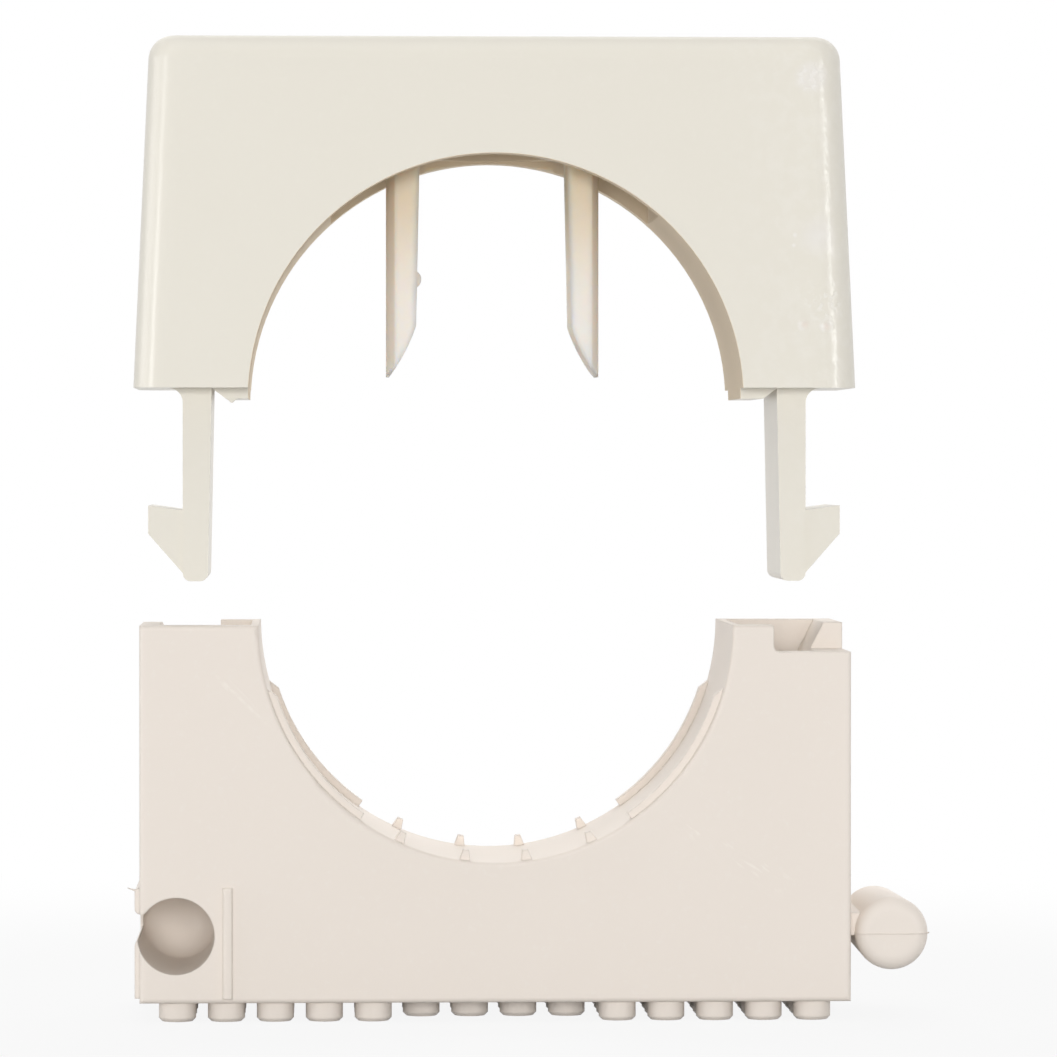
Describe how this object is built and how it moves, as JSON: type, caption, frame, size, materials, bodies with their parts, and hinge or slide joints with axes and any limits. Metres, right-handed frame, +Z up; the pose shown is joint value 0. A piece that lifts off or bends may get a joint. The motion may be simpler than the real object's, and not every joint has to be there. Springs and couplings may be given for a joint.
{
  "type": "pipe clip",
  "caption": "Moulded pipe clip: a studded base with a toothed saddle, side link peg and socket, and an arched cap whose barbed legs snap into the towers and whose prongs hold the pipe.",
  "frame": {"origin": "middle of the stud field under the base, level with the ends of the studs", "axes": "+X across the clip towards its link peg, +Y along the pipe from the front face to the back, +Z up from the surface the clip is fixed to, towards the cap"},
  "size_m": [0.0493, 0.0158, 0.061],
  "materials": {
    "base_plastic": "satin ivory moulded plastic with faint handling scratches",
    "cap_plastic": "semi-gloss ivory moulded plastic with small sink marks and dents"
  },
  "bodies": {
    "base": {"base": "base_plastic"},
    "cap": {"cap": "cap_plastic"}
  },
  "joints": [
    {"name": "cap_slide", "type": "slide", "parent": "base", "child": "cap", "axis": [0, 0, 1], "range_m": [-0.01465, 0], "deforming": ["cap"]}
  ]
}
